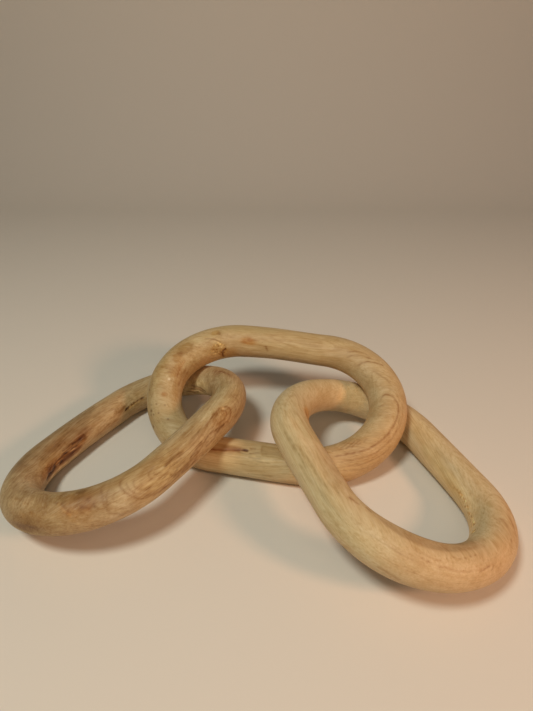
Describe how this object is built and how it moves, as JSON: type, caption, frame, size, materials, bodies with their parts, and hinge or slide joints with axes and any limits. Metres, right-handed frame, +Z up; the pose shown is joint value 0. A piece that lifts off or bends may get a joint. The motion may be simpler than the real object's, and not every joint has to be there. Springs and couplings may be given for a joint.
{
  "type": "wooden chain",
  "caption": "Carved wooden chain of thick oval links hooked through one another, lying spread out with each link leaning on its neighbour.",
  "frame": {"origin": "on the surface the chain lies on, under the middle of the whole chain's box", "axes": "+X along the spread-out chain, from the left link to the right link; +Y across it, towards the raised bar of the centre link; +Z up, away from the surface"},
  "size_m": [0.575, 0.3956, 0.1225],
  "materials": {
    "wood_left": "smoothed bare wood, warm tan with brown streaks, stains and a check",
    "wood_centre": "smoothed bare wood, pale straw with straight grain, small knots and a filled crack",
    "wood_right": "smoothed bare wood, pale greenish straw turning warmer at one end"
  },
  "bodies": {
    "root": {"link_left": "wood_left", "link_centre": "wood_centre", "link_right": "wood_right"}
  },
  "joints": []
}
